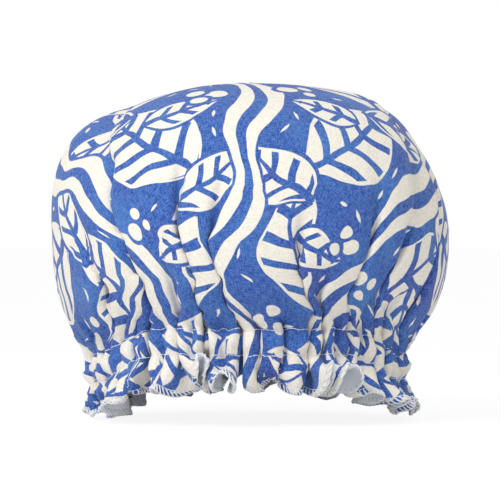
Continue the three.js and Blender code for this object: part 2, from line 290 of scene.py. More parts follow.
def gathered_folds(distance, radius, share):
    """The turn round the cap and the depth of a row's points, folded by the tucks that reach it."""
    hang = float(hang_share(distance))
    above = max(upper_seam - distance, 0)
    cut = 2 * np.pi * float(gathered_radius(distance)) * (1 + hem_stretch * hang)
    live, size = live_tucks(above, hang)
    if len(live) < 2:
        return tuck_crown[0] + 2 * np.pi * share, np.zeros(len(share))
    around = 2 * np.pi * radius
    wall = max(cut - around, 0) * size / 2
    next_wall = np.roll(wall, -1)
    places = np.append(tuck_place[live], tuck_place[live[0]] + 1)
    lengths = np.diff(places) * (around + 2 * wall.sum())
    spans = np.maximum(lengths - wall - next_wall, least_span * lengths)
    spans *= around / spans.sum()
    starts = np.concatenate([[0], np.cumsum(spans / radius)])
    starts += np.mean(tuck_crown[live] - starts[:-1])
    near_ring = 1 - smooth(above, 0, ring_hold)
    on_ring = np.append(tuck_ring[live], tuck_ring[live[0]] + 2 * np.pi)
    starts += (on_ring - starts) * near_ring
    spans = np.diff(starts) * radius
    softness = seam_softness + crown_softness * smooth(above, softens_from, softens_to)
    knots, turns, depths = [], [], []
    for i, length in enumerate(lengths):
        soft = min(softness, most_softness * length)
        along, across, depth = fold_curve(length, spans[i], wall[i], next_wall[i], soft)
        knots.append(places[i] + (places[i + 1] - places[i]) * along[:-1])
        turns.append(starts[i] + across[:-1] / radius)
        depths.append(depth[:-1])
    knots = np.concatenate(knots)
    fine = np.arange(fine_steps) / fine_steps
    turns = np.interp(fine, knots, np.concatenate(turns) - 2 * np.pi * knots, period=1)
    depths = np.interp(fine, knots, np.concatenate(depths), period=1)
    width = max(int(fine_steps * (fold_blur + hem_blur * hang) / cut), 1)
    depths = blurred(depths, width)
    if hang > 0:
        turns = blurred(turns, width)
    out = np.interp(share, fine, depths, period=1)
    out = out - centring * out.mean() * smooth(above, 0, centred_by)
    return np.interp(share, fine, turns, period=1) + 2 * np.pi * share, out


def by_flute(values, share):
    """Values given for the middle of each flute, at shares of the way round."""
    middles = tuck_place + crown_widths / (4 * np.pi)
    middles = np.append(middles, 1 + tuck_place[0] + crown_widths[0] / (4 * np.pi))
    return np.interp(share, middles, np.append(values, values[0]), period=1)


channel_puff = 0.002
puff_depth = 0.004
flute_depth = 0.011
seam_tilt = 0.35
hem_spread = 0.004
hem_clearance = 0.0018


def folded_row(distance, columns):
    """Points of one row of the cloth, at a distance from the crown's middle, before it settles."""
    half_width, half_depth, height, lifted = (np.interp(distance, rail_distance, line) for line in rail.T)
    radius = (half_width + half_depth) / 2
    hang = float(hang_share(distance))
    share = np.arange(columns) / columns
    angle, out = gathered_folds(distance, radius, share)
    angle = angle + by_flute(flute_sway, share) * hang / radius
    down_channel = np.clip((distance - upper_seam) / (lower_seam - upper_seam), 0, 1)
    out = out + channel_puff * np.sin(np.pi * down_channel) * np.exp(out / puff_depth)
    drop = max(distance - lower_seam, 0)
    ridge = np.exp(np.minimum(out, 0) / flute_depth)
    tilt = by_flute(flute_tilt, share) * ridge
    tilt = tilt + by_flute(valley_tilt, share) * (1 - ridge)
    tilt = tilt * (seam_tilt + (1 - seam_tilt) * hang) * (hang > 0)
    out = out + hem_spread * hang
    sideways = drop * np.sin(tilt) + out * np.cos(tilt)
    height = height - drop * np.cos(tilt) + out * np.sin(tilt) + lifted * lift(angle)
    if hang > 0:
        height = np.maximum(height, hem_clearance)
    x = (half_width + sideways) * np.sin(angle)
    y = -(half_depth + sideways) * np.cos(angle)
    return np.stack([x, y, height], 1)


def joined(inner, outer):
    """Faces between two rows of points, where the outer row has as many points or twice as many."""
    if len(inner) == len(outer):
        return list(zip(inner, outer, np.roll(outer, -1), np.roll(inner, -1)))
    faces = []
    for i, near in enumerate(inner):
        after = inner[(i + 1) % len(inner)]
        first, middle, last = outer[2 * i], outer[2 * i + 1], outer[(2 * i + 2) % len(outer)]
        faces += [(near, first, middle), (near, middle, after), (after, middle, last)]
    return faces


# Rows of the sheet, from the crown's middle to the hem, with a row on each line of sewing.
# The columns halve within each of these distances from the middle.
crown_row_count = 57
channel_row_count = 6
frill_row_count = 5
hem_columns = 608
halved_within = np.array([0.165, 0.076, 0.036, 0.018])
crown_rows = np.linspace(0, upper_seam, crown_row_count + 1)[1:]
channel_rows = np.linspace(upper_seam, lower_seam, channel_row_count + 1)[1:]
frill_rows = np.linspace(lower_seam, overlock_line, frill_row_count + 1)[1:]
edge_rows = [overlock_line + overlock_width / 2, cut_radius]
row_distance = np.concatenate([crown_rows, channel_rows, frill_rows, edge_rows])

# The shape that the cloth would relax to: a bowl as wide as the gathered cloth, with a rippled hem
ripple_depth = 0.0036
ripples = 71
slow_ripples = 46
slow_share = 0.6
slow_start = 1
bowl_steps = 2000
fine_distance = np.linspace(0, cut_radius, bowl_steps)
bowl_slope = np.gradient(gathered_radius(fine_distance), fine_distance)
rest_depth = np.cumsum(np.sqrt(np.maximum(1 - bowl_slope ** 2, 0))) * fine_distance[1]

start_points = [np.array([[0, 0, crown_height]])]
rest_points = [np.zeros((1, 3))]
cut_points = [np.zeros((1, 2))]
sheet_faces = []
row_points = []
count = 1
for distance in row_distance:
    columns = hem_columns // 2 ** int((distance < halved_within).sum())
    points = count + np.arange(columns)
    start_points.append(folded_row(distance, columns))
    turn = tuck_crown[0] + 2 * np.pi * np.arange(columns) / columns
    round_off = np.stack([np.sin(turn), -np.cos(turn)], 1)
    hang = float(hang_share(distance))
    waves = np.sin(ripples * turn) + slow_share * np.sin(slow_ripples * turn + slow_start)
    depth = ripple_depth * hang * waves - np.interp(distance, fine_distance, rest_depth)
    rest_points.append(np.column_stack([round_off * float(gathered_radius(distance)), depth]))
    cut_points.append(round_off * distance)
    if row_points:
        sheet_faces += joined(row_points[-1], points)
    else:
        sheet_faces += [(0, a, b) for a, b in zip(points, np.roll(points, -1))]
    row_points.append(points)
    count += columns
sheet = np.concatenate(start_points)
rest = np.concatenate(rest_points)
cut_plan = np.concatenate(cut_points)
sheet_faces = [tuple(int(i) for i in face) for face in sheet_faces]
point_distance = np.concatenate([[0], np.repeat(row_distance, [len(points) for points in row_points])])
upper_row = int(np.argmin(np.abs(row_distance - upper_seam)))
lower_row = int(np.argmin(np.abs(row_distance - lower_seam)))
overlock_row = int(np.argmin(np.abs(row_distance - overlock_line)))

# Soft dents, so that the crown isn't a turned dome
dome_middle = np.array([0, 0, 0.1])
dent_count = 40
dent_depth = 0.0016
dent_focus = 17.6
dent_fade = 0.06
dent_ways = random.normal(size=(dent_count, 3))
dent_ways /= np.linalg.norm(dent_ways, axis=1)[:, None]
dent_depths = random.normal(size=dent_count) * dent_depth
ways = (sheet - dome_middle) / np.linalg.norm(sheet - dome_middle, axis=1)[:, None]
dents = (dent_depths * np.exp(dent_focus * (ways @ dent_ways.T - 1))).sum(1)
sheet += ways * (dents * np.clip((upper_seam - point_distance) / dent_fade, 0, 1))[:, None]


def on_disc(degrees, distance):
    """A place on the cut disc, degrees round from the front and a distance from the middle."""
    turn = np.radians(degrees)
    return distance * np.array([np.sin(turn), -np.cos(turn)])


# Swells and hollows of the crown: depth, degrees round, distance along and radius of each
swells = [
    (0.0045, -86, 0.108, 0.034), (-0.0050, -96, 0.058, 0.022), (0.0055, -90, 0.246, 0.022),
    (0.0055, 86, 0.082, 0.024), (-0.0055, 90, 0.124, 0.028), (-0.0025, 92, 0.180, 0.040),
    (-0.0020, 70, 0.045, 0.025),
]
for depth, degrees, distance, radius in swells:
    away = np.linalg.norm(cut_plan - on_disc(degrees, distance), axis=1)
    sheet += ways * (depth * np.exp(-(away / radius) ** 2))[:, None]

# Creases over the crown, steep on the side of the front: depth, and degrees round and distance along each
creases = [
    (0.008, [(-47, 0.135), (-58, 0.110), (-70, 0.090), (-92, 0.060), (-120, 0.042)]),
    (0.0065, [(55, 0.140), (62, 0.112), (76, 0.086), (88, 0.060)]),
]
gentle_side = 0.020
steep_side = 0.004
crease_ends = 0.030
crease_full = 0.065


def crease_depth(depth, path):
    """How deep one crease is at each point of the sheet."""
    stations = [on_disc(degrees, distance) for degrees, distance in path]
    nearest = np.full(len(sheet), np.inf)
    for a, b in zip(stations[:-1], stations[1:]):
        ahead = (b - a) / np.linalg.norm(b - a)
        along = np.clip((cut_plan - a) @ ahead, 0, np.linalg.norm(b - a))
        nearest = np.minimum(nearest, np.linalg.norm(cut_plan - a - along[:, None] * ahead, axis=1))
    degrees, distances = np.array(path).T
    order = np.argsort(distances)
    turn = np.arctan2(cut_plan[:, 0], -cut_plan[:, 1])
    way = np.linalg.norm(cut_plan, axis=1)
    crease_turn = np.interp(way, distances[order], np.radians(degrees[order]))
    behind = (turn - crease_turn) * np.sign(degrees[0]) > 0
    width = np.where(behind, gentle_side, steep_side)
    return depth * smooth(way, crease_ends, crease_full) * np.exp(-(nearest / width) ** 2)


for depth, path in creases:
    sheet -= ways * crease_depth(depth, path)[:, None]

# Fine puckers by the seams, which the elastic presses into the cloth
pucker_count = 60
finest_pucker = 0.010
widest_pucker = 0.018
pucker_reach = 0.030
pucker_depth = 0.0011
pucker_rise = 0.35
pucker_ways = random.normal(size=(pucker_count, 2))
pucker_pitch = random.uniform(finest_pucker, widest_pucker, pucker_count)
pucker_ways *= (2 * np.pi / pucker_pitch / np.linalg.norm(pucker_ways, axis=1))[:, None]
pucker_starts = random.uniform(0, 2 * np.pi, pucker_count)
puckers = np.cos(cut_plan @ pucker_ways.T + pucker_starts).sum(1) / np.sqrt(pucker_count / 2)
near_seams = smooth(point_distance, upper_seam - pucker_reach, upper_seam)
near_seams = near_seams * (1 - smooth(point_distance, lower_seam, cut_radius))
pucker_push = ways * (1, 1, 0) + (0, 0, pucker_rise)
sheet += pucker_push * (pucker_depth * puckers * near_seams)[:, None]

# How firmly the rows keep their start while the cloth settles, where 1 is sewn fast
seam_hold = 1
crown_hold = 0.2
side_hold = 0.02
side_hold_by = 0.04
frill_hold = 0.006


def hold_rows(cloth_object):
    """Groups of the sheet's points: how firmly each is held, and which are blown out by the air inside."""
    held = cloth_object.vertex_groups.new(name="held")
    blown = cloth_object.vertex_groups.new(name="blown")
    held.add([0], crown_hold, "REPLACE")
    blown.add([0], 1, "REPLACE")
    for row, points_of_row in enumerate(row_points):
        below = np.clip((row_distance[row] - belly) / side_hold_by, 0, 1)
        hold = crown_hold + (side_hold - crown_hold) * below
        if row > lower_row:
            hold = frill_hold
        if row in (upper_row, lower_row):
            hold = seam_hold
        held.add(points_of_row.tolist(), float(hold), "REPLACE")
        if row < lower_row:
            blown.add(points_of_row.tolist(), 1, "REPLACE")


def table_below(corner, height):
    """A table that the hem can't sink through."""
    table = bpy.data.meshes.new("table")
    edge = [(-corner, -corner), (corner, -corner), (corner, corner), (-corner, corner)]
    table.from_pydata([(x, y, height) for x, y in edge], [], [(0, 1, 2, 3)])
    table_object = bpy.data.objects.new("table", table)
    bpy.context.scene.collection.objects.link(table_object)
    table_object.modifiers.new("Collision", "COLLISION")
    table_object.collision.thickness_outer = 0.005
    return table_object


def settle(points, rest_shape, frames, scale=10):
    """The cloth after it has relaxed from its folded start, run at a larger scale."""
    scene = bpy.context.scene
    mesh = bpy.data.meshes.new("settling")
    mesh.from_pydata((points * scale).tolist(), [], sheet_faces)
    cloth_object = bpy.data.objects.new("settling", mesh)
    scene.collection.objects.link(cloth_object)
    cloth_object.shape_key_add(name="start")
    key = cloth_object.shape_key_add(name="rest")
    key.data.foreach_set("co", (rest_shape * scale).astype(np.float32).ravel())
    hold_rows(cloth_object)
    table_object = table_below(corner=3, height=0.01)
    cloth = cloth_object.modifiers.new("Cloth", "CLOTH")
    settings = cloth.settings
    settings.quality = 6
    settings.mass = 0.02
    settings.tension_stiffness = 40
    settings.compression_stiffness = 40
    settings.shear_stiffness = 10
    settings.bending_stiffness = 1
    settings.tension_damping = 10
    settings.compression_damping = 10
    settings.shear_damping = 10
    settings.air_damping = 5
    settings.vertex_group_mass = "held"
    settings.pin_stiffness = 1
    settings.use_pressure = True
    settings.uniform_pressure_force = 3
    settings.vertex_group_pressure = "blown"
    settings.rest_shape_key = key
    settings.effector_weights.gravity = 0.2
    cloth.collision_settings.distance_min = 0.004
    cloth.collision_settings.use_self_collision = True
    cloth.collision_settings.self_distance_min = 0.006
    cloth.point_cache.frame_end = frames
    for number in range(1, frames + 1):
        scene.frame_set(number)
    settled = cloth_object.evaluated_get(bpy.context.evaluated_depsgraph_get()).to_mesh()
    result = np.empty(len(points) * 3, np.float32)
    settled.vertices.foreach_get("co", result)
    scene.frame_set(1)
    for made in (cloth_object, table_object):
        made_mesh = made.data
        bpy.data.objects.remove(made)
        bpy.data.meshes.remove(made_mesh)
    return result.reshape(-1, 3).astype(float) / scale


def unstretched(points):
    """The sheet with each line down the frill no longer than it was cut."""
    result = points.copy()
    for row in range(lower_row + 1, len(row_points)):
        above = row_points[row - 1]
        here = row_points[row]
        step = points[here] - points[above]
        cut = row_distance[row] - row_distance[row - 1]
        result[here] = result[above] + step * np.minimum(1, cut / np.linalg.norm(step, axis=1))[:, None]
    return result


sheet = unstretched(settle(sheet, rest, frames=20))


def outward(points):
    """Normals of the sheet's points, away from the head."""
    normals = np.zeros_like(points)
    for sides in (3, 4):
        faces = np.array([face for face in sheet_faces if len(face) == sides])
        first_way = points[faces[:, 2]] - points[faces[:, 0]]
        second_way = points[faces[:, -1]] - points[faces[:, 1]]
        cross = np.cross(first_way, second_way)
        for corner in range(sides):
            np.add.at(normals, faces[:, corner], cross)
    return normals / np.linalg.norm(normals, axis=1)[:, None]


elastic_clearance = 0.0012
elastic_room = 0.0005
parting_softness = 0.0012
least_radius = 0.1


def parted(points, side):
    """The sheet pushed to one side of the elastic in the channel: 1 is outside it, -1 inside it."""
    radius = np.hypot(points[:, 0] / ring_half[0], points[:, 1] / ring_half[1])
    beside = np.abs(point_distance - (upper_seam + lower_seam) / 2)
    share = 1 - smooth(beside, elastic_width / 2 + elastic_room, (lower_seam - upper_seam) / 2)
    limit = 1 + side * elastic_clearance / ring_mean
    away = (radius - limit) * side * ring_mean
    short = parting_softness * np.logaddexp(0, -away / parting_softness)
    grown = 1 + side * share * short / (ring_mean * np.maximum(radius, least_radius))
    return points * np.column_stack([grown, grown, np.ones_like(grown)])


def smooth_mesh(name, points, faces):
    """A smoothly shaded mesh."""
    mesh = bpy.data.meshes.new(name)
    mesh.from_pydata(points.tolist(), [], [tuple(int(i) for i in face) for face in faces])
    mesh.shade_smooth()
    return mesh


def add_map(mesh, name, places):
    """Gives a mesh a map with a place for each of its points."""
    corners = np.empty(len(mesh.loops), np.int32)
    mesh.loops.foreach_get("vertex_index", corners)
    mesh.uv_layers.new(name=name).data.foreach_set("uv", places[corners].astype(np.float32).ravel())


def in_scene(name, mesh):
    """A new object of the scene with this mesh."""
    made = bpy.data.objects.new(name, mesh)
    bpy.context.scene.collection.objects.link(made)
    return made


# Where the two faces of a sheet lie on its bake map: half the width and the middle of each disc
face_disc = 0.36
face_place = (0.37, 0.63)
back_disc = 0.12
back_place = (0.87, 0.13)


def layer(name, points, low, high):
    """A closed sheet between two distances out from the points, with cut-plan and bake maps."""
    normals = outward(points)
    size = len(points)
    hem = row_points[-1]
    faces = sheet_faces + [tuple(i + size for i in face[::-1]) for face in sheet_faces]
    faces += [(a, a + size, b + size, b) for a, b in zip(hem, np.roll(hem, -1))]
    mesh = smooth_mesh(name, np.concatenate([points + normals * high, points + normals * low]), faces)
    add_map(mesh, "cut", np.concatenate([cut_plan, cut_plan]))
    face_map = cut_plan / cut_radius * face_disc + face_place
    back_map = cut_plan / cut_radius * back_disc + back_place
    add_map(mesh, "OFBake", np.concatenate([face_map, back_map]))
    return in_scene(name, mesh)


class Wire:
    """A shader socket: sums and products of wires add Math nodes, and node() adds any other node."""

    def __init__(self, tree, socket=None):
        self.tree = tree
        self.socket = socket

    def node(self, kind, settings=None, inputs=None, output=0):
        made = self.tree.nodes.new(kind)
        for name, value in (settings or {}).items():
            setattr(made, name, value)
        for name, value in (inputs or {}).items():
            if isinstance(value, Wire):
                self.tree.links.new(value.socket, made.inputs[name])
            else:
                made.inputs[name].default_value = value
        return Wire(self.tree, made.outputs[output])

    def output(self, name):
        return Wire(self.tree, self.socket.node.outputs[name])

    def feed(self, shader, name):
        self.tree.links.new(self.socket, shader.inputs[name])

    def math(self, operation, *others):
        inputs = dict(enumerate((self, *others)))
        return self.node("ShaderNodeMath", {"operation": operation}, inputs)

    def __add__(self, other):
        return self.math("ADD", other)

    def __sub__(self, other):
        return self.math("SUBTRACT", other)

    def __rsub__(self, other):
        return self.node("ShaderNodeMath", {"operation": "SUBTRACT"}, {0: other, 1: self})

    def __mul__(self, other):
        return self.math("MULTIPLY", other)

    def __truediv__(self, other):
        return self.math("DIVIDE", other)

    __radd__ = __add__
    __rmul__ = __mul__

    def clamped(self):
        return self.node("ShaderNodeClamp", inputs={0: self})

    def scaled(self, factors):
        return self.node("ShaderNodeVectorMath", {"operation": "MULTIPLY"}, {0: self, 1: factors})

    def noise(self, place, scale, detail=2.0):
        return self.node("ShaderNodeTexNoise", inputs={"Vector": place, "Scale": scale, "Detail": detail})

    def mixed(self, share, first, second):
        return self.node("ShaderNodeMix", {"data_type": "RGBA"}, {0: share, 6: first, 7: second}, 2)

    def bumped(self, strength, distance):
        inputs = {"Strength": strength, "Distance": distance, "Height": self}
        return self.node("ShaderNodeBump", inputs=inputs)


def linear(red, green, blue):
    """A colour as it looks on screen, 0 to 255, as light by the sRGB curve."""
    shares = np.array([red, green, blue]) / 255
    light = np.where(shares > 0.04045, ((shares + 0.055) / 1.055) ** 2.4, shares / 12.92)
    return (*light.tolist(), 1.0)


def finish_of(name, roughness, sheen, specular=0.3):
    """A new material, its first wire and its shader."""
    material = bpy.data.materials.new(name)
    material.use_nodes = True
    shader = material.node_tree.nodes["Principled BSDF"]
    shader.inputs["Roughness"].default_value = roughness
    shader.inputs["Sheen Weight"].default_value = sheen
    shader.inputs["Specular IOR Level"].default_value = specular
    return material, Wire(material.node_tree), shader


# The print: tiles in columns, each column half a tile lower than the one beside it
tile_width = 0.124
tile_height = 0.176
print_drift = 0.024
drift_scale = 16.0
edge_blur = 0.0005
ground_line = 0.0019
least_print = 0.0004
stem_half = 0.0032
stem_swing = -0.015
ribbon_half = 0.0132
ribbon_swell = 0.0040
ribbon_swing = 0.0060
ribbon_lag = 1.3
ribbon_core = 0.25
leaf_foot = 0.94
leaf_taper = 0.3
least_taper = 0.1
leaf_margin = 0.0030
rib_half = 0.0015
rib_taper = 0.7
vein_slant = 0.7
vein_gap = 0.62
vein_depth = 0.0035
seed_half_length = 0.0045
seed_half_width = 0.0014
# Leaves of one tile: height of the foot on the stem, lean in degrees, half length, half width, bend
# and, last, the pitch of the veins
leaves = [
    (-0.046, 118, 0.050, 0.0290, 4, 0.018), (0.044, 62, 0.047, 0.0275, -4, 0.018),
    (-0.066, 30, 0.031, 0.0180, -6, 0.015), (0.026, 152, 0.031, 0.0175, 6, 0.015),
    (0.006, 8, 0.023, 0.0130, -4, 0.013), (-0.080, 176, 0.022, 0.0120, 4, 0.013),
]
# Berries of one tile: place and radius
berries = [
    (-0.040, -0.056, 0.0060), (-0.030, -0.048, 0.0046), (-0.027, -0.060, 0.0042),
    (0.040, 0.024, 0.0060), (0.030, 0.030, 0.0046), (0.031, 0.018, 0.0042),
]
# Seeds of one tile, in its plain fields: place and lean in degrees
seeds = [
    (-0.042, 0.072, 70), (-0.036, 0.084, 110), (0.016, 0.040, 20), (0.030, 0.043, 150),
    (0.040, 0.050, 100), (0.036, -0.002, 80), (0.037, -0.018, 110), (-0.046, -0.008, 75),
    (-0.044, -0.026, 115), (-0.012, -0.055, 25), (0.037, 0.066, 95), (0.038, 0.083, 80),
]


def repeated(value, period):
    """A wire's distance from the nearest multiple of a period."""
    return value - (value / period).math("ROUND") * period


def printed_leaf(x, y, foot, lean, length, width, bend, vein_pitch):
    """One leaf of the print: how far a point is inside its outline, and inside its pale parts."""
    angle = np.radians(lean)
    reach = leaf_foot * length
    stem_place = stem_swing * np.sin(2 * np.pi * foot / tile_height)
    from_x = x - (stem_place + reach * np.cos(angle))
    from_y = repeated(y - (foot + reach * np.sin(angle)), tile_height)
    u = from_x * np.cos(angle) + from_y * np.sin(angle)
    v = from_y * np.cos(angle) - from_x * np.sin(angle) + u * u * bend
    side = v.math("ABSOLUTE")
    tip = u / length
    taper = (1 - leaf_taper * tip).math("MAXIMUM", least_taper)
    outline = (1 - tip * tip) * taper * width - side
    rib = (1 - rib_taper * tip) * rib_half - side
    vein = (((u - side * vein_slant) * (2 * np.pi / vein_pitch)).math("SINE") - vein_gap) * vein_depth
    gap = rib.math("MAXIMUM", vein.math("MINIMUM", outline - leaf_margin))
    return outline, outline.math("MINIMUM", 0 - gap)


def printed_seed(x, y, place_x, place_y, lean):
    """How far a point is inside one seed of the print, a short stroke with two points."""
    angle = np.radians(lean)
    from_x = x - place_x
    from_y = repeated(y - place_y, tile_height)
    u = (from_x * np.cos(angle) + from_y * np.sin(angle)) / seed_half_length
    side = (from_y * np.cos(angle) - from_x * np.sin(angle)).math("ABSOLUTE")
    return (1 - u * u) * seed_half_width - side


def laid_over(pale, outline, motif):
    """The pale parts of the print with one more motif over them and a line of the ground round it."""
    return pale.math("MINIMUM", 0 - (outline + ground_line)).math("MAXIMUM", motif)


def leaf_print(wire, cut):
    """How far a point is inside the pale parts: leaves on winding stems, ribbons, berries and seeds."""
    drift = wire.node("ShaderNodeSeparateColor", inputs={0: wire.noise(cut, drift_scale).output("Color")})
    place = wire.node("ShaderNodeSeparateXYZ", inputs={0: cut})
    across = place + (drift - 0.5) * print_drift
    along = place.output("Y") + (drift.output("Green") - 0.5) * print_drift
    column = (across / tile_width).math("FLOOR")
    x = across - (column + 0.5) * tile_width
    y = along + (column / 2).math("FRACT") * tile_height
    winding = (y * (2 * np.pi / tile_height)).math("SINE") * stem_swing
    pale = stem_half - (x - winding).math("ABSOLUTE")
    for leaf in leaves:
        pale = laid_over(pale, *printed_leaf(x, y, *leaf))
    swing = along * (4 * np.pi / tile_height)
    swell = (swing + ribbon_lag).math("SINE") * ribbon_swell + ribbon_half
    beside = (repeated(across, tile_width) - swing.math("SINE") * ribbon_swing).math("ABSOLUTE")
    ribbon = swell - beside
    pale = laid_over(pale, ribbon, ribbon.math("MINIMUM", beside - swell * ribbon_core))
    for place_x, place_y, radius in berries:
        from_x = x - place_x
        from_y = repeated(y - place_y, tile_height)
        berry = radius - (from_x * from_x + from_y * from_y).math("SQRT")
        pale = laid_over(pale, berry, berry)
    for seed in seeds:
        pale = pale.math("MAXIMUM", printed_seed(x, y, *seed))
    return pale


# The cotton: its dyes, washed and worn along the yarns, and its weave
print_blue = linear(32, 80, 172)
print_violet = linear(48, 54, 160)
print_sky = linear(62, 124, 198)
worn_blue = linear(116, 156, 214)
ivory = linear(253, 247, 234)
yarn_shadow = linear(36, 40, 52)
wash_scale = 24.0
wash_contrast = 5
wash_share = 0.7
patch_scale = 14.0
patch_level = 0.54
patch_contrast = 8
patch_share = 0.8
worn_share = 0.5
shadow_share = 0.15
yarns_across = 1500
slubs_along = 240
yarn_contrast = 3.2
yarn_pitch = 0.0009
slub_scale = 700.0
slub_shift = 3
crossing_height = 0.25
yarn_height = 0.12


def pale_yarns(wire, cut):
    """How pale the yarns are over the cloth, with slubs along the warp and the weft."""
    warp = wire.noise(cut.scaled((yarns_across, slubs_along, 1)), 1.0)
    weft = wire.noise(cut.scaled((slubs_along, yarns_across, 1)), 1.0)
    return ((warp + weft - 1) * yarn_contrast + 0.5).clamped()


def plain_weave(wire, cut):
    """How high the yarns stand where warp and weft cross."""
    place = wire.node("ShaderNodeSeparateXYZ", inputs={0: cut})
    slub = wire.noise(cut, slub_scale)
    warp = (place * (2 * np.pi / yarn_pitch) + slub * slub_shift).math("SINE")
    weft = (place.output("Y") * (2 * np.pi / yarn_pitch) + slub * slub_shift).math("SINE")
    return warp * weft * crossing_height + warp * yarn_height + weft * yarn_height + 0.5


def printed_cotton():
    """Plain-weave cotton with a generic print of leaves, ribbons and berries, ivory on blue."""
    material, wire, shader = finish_of("printed_cotton", roughness=0.85, sheen=0.15)
    cut = wire.node("ShaderNodeUVMap", {"uv_map": "cut"})
    mask = ((leaf_print(wire, cut) - least_print) / edge_blur + 0.5).clamped()
    patch = ((wire.noise(cut, patch_scale) - patch_level) * patch_contrast).clamped()
    yarns = pale_yarns(wire, cut)
    wash = ((wire.noise(cut, wash_scale) - 0.5) * wash_contrast).clamped()
    blue = wire.mixed(wash * wash_share, print_blue, print_sky)
    blue = wire.mixed(patch * patch_share, blue, print_violet)
    colour = wire.mixed(mask, wire.mixed(yarns * worn_share, blue, worn_blue), ivory)
    colour = wire.mixed((1 - yarns) * shadow_share, colour, yarn_shadow)
    colour.feed(shader, "Base Color")
    plain_weave(wire, cut).bumped(strength=0.5, distance=0.00025).feed(shader, "Normal")
    return material


outer_points = parted(sheet, 1)
outer = layer("outer_cloth", outer_points, layer_gap / 2, layer_gap / 2 + cloth_thickness)
outer.data.materials.append(printed_cotton())
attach(outer, "root")
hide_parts("outer_fabric")


# Waterproof lining
# One disc of bluish-white film of the same cut, laid inside the cloth and sewn in with it.
# It goes inside the elastic in the channel, and it shows where the frill flips up.
film_thickness = 0.0003
film_white = linear(246, 249, 253)
film_shade = linear(226, 233, 244)
cloud_scale = 60.0
cloud_share = 0.6
film_crease_scale = 320.0
least_roughness = 0.3
crease_roughness = 0.25


def soft_film():
    """Waterproof film with a slight sheen and fine creases."""
    material, wire, shader = finish_of("soft_film", roughness=0.42, sheen=0.1)
    cut = wire.node("ShaderNodeUVMap", {"uv_map": "cut"})
    cloud = wire.noise(cut, cloud_scale, detail=4.0)
    crease = wire.noise(cut, film_crease_scale, detail=3.0)
    wire.mixed(cloud * cloud_share, film_white, film_shade).feed(shader, "Base Color")
    (crease * crease_roughness + least_roughness).feed(shader, "Roughness")
    crease.bumped(strength=0.3, distance=0.0004).feed(shader, "Normal")
    return material


lining_points = parted(sheet, -1)
lining = layer("lining_film", lining_points, -layer_gap / 2 - film_thickness, -layer_gap / 2)
lining.data.materials.append(soft_film())
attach(lining, "root")
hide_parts("waterproof_lining")


# Elastic band
# Flat braided elastic, threaded through the channel and lapped on itself at the back.
# It is woven in cords side by side, so both faces are ribbed along the band.
elastic_thickness = 0.001
elastic_lap = 0.012
lap_gap = 0.00035
rib_count = 7
rib_points = 4
valley_thickness = 0.72
band_stations = 281
elastic_white = linear(245, 243, 238)
elastic_shade = linear(196, 198, 200)
braid_pitch = 0.0009
braid_slant = 0.8
braid_shade = 0.18
lap_turn = elastic_lap / ring_half[1]
join_middle = np.mean(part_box("elastic_join_stitching"), axis=0)
lap_place = np.arctan2(join_middle[0], -join_middle[1])
band_half = [half - elastic_thickness / 2 for half in ring_half]


def on_elastic(share, out, up):
    """A point of the band, by its share of the way round, its distance out and its height on the band."""
    angle = lap_place - lap_turn / 2 + share * (2 * np.pi + lap_turn)
    spiral = (2 * share - 1) * (elastic_thickness + lap_gap) / 2
    x = (band_half[0] + spiral + out) * np.sin(angle)
    y = -(band_half[1] + spiral + out) * np.cos(angle)
    return np.stack([x, y, elastic_height + lift(angle) + up], -1)


def ribbed_band():
    """The lapped band, with a rib for each cord of the braid."""
    up = np.linspace(-elastic_width / 2, elastic_width / 2, rib_points * rib_count + 1)
    ribs = np.abs(np.sin(np.pi * rib_count * (up / elastic_width + 0.5)))
    rib = valley_thickness + (1 - valley_thickness) * ribs
    out = np.concatenate([rib, -rib[::-1]]) * elastic_thickness / 2
    up = np.concatenate([up, up[::-1]])
    shares = np.linspace(0, 1, band_stations)
    points = on_elastic(shares[:, None], out[None, :], up[None, :])
    sides = len(up)
    grid = np.arange(points.shape[0] * sides).reshape(-1, sides)
    faces = []
    for a, b in zip(grid[:-1], grid[1:]):
        faces += list(zip(a, np.roll(a, -1), np.roll(b, -1), b))
    faces += [tuple(grid[0][::-1]), tuple(grid[-1])]
    mesh = smooth_mesh("elastic", points.reshape(-1, 3), faces)
    ways_round = shares * (2 * np.pi * ring_mean)
    add_map(mesh, "thread", np.stack([np.repeat(ways_round, sides), np.tile(up, len(shares))], 1))
    return in_scene("elastic", mesh)


def braided_elastic():
    """White braid: yarns that cross each rib at a slant."""
    material, wire, shader = finish_of("braided_elastic", roughness=0.8, sheen=0.2)
    place = wire.node("ShaderNodeUVMap", {"uv_map": "thread"})
    split = wire.node("ShaderNodeSeparateXYZ", inputs={0: place})
    slant = split.output("Y").math("ABSOLUTE") * braid_slant + split
    yarn = (slant * (2 * np.pi / braid_pitch)).math("SINE") * 0.5 + 0.5
    wire.mixed(yarn * braid_shade, elastic_white, elastic_shade).feed(shader, "Base Color")
    yarn.bumped(strength=0.6, distance=0.0002).feed(shader, "Normal")
    return material


elastic = ribbed_band()
elastic.data.materials.append(braided_elastic())
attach(elastic, "root")
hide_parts("elastic_band")


# Elastic join stitching
# White polyester thread in a zigzag over the lap, through both ends of the elastic.
# It makes the band a ring before the channel is sewn shut.
thread_half = 0.00021
thread_white = linear(247, 248, 249)
thread_shade = linear(205, 211, 222)
strand_pitch = 0.0008
strand_count = 2
strand_shade = 0.35
zigzag_peaks = 5
zigzag_steps = 8
zigzag_sides = 8
zigzag_reach = 0.0016
zigzag_margin = 0.002
zigzag_sharpness = 0.97
tiny = 1e-12


def unit(vectors):
    """Vectors of length one, or nothing where there is no way to point."""
    return vectors / (np.linalg.norm(vectors, axis=1)[:, None] + tiny)


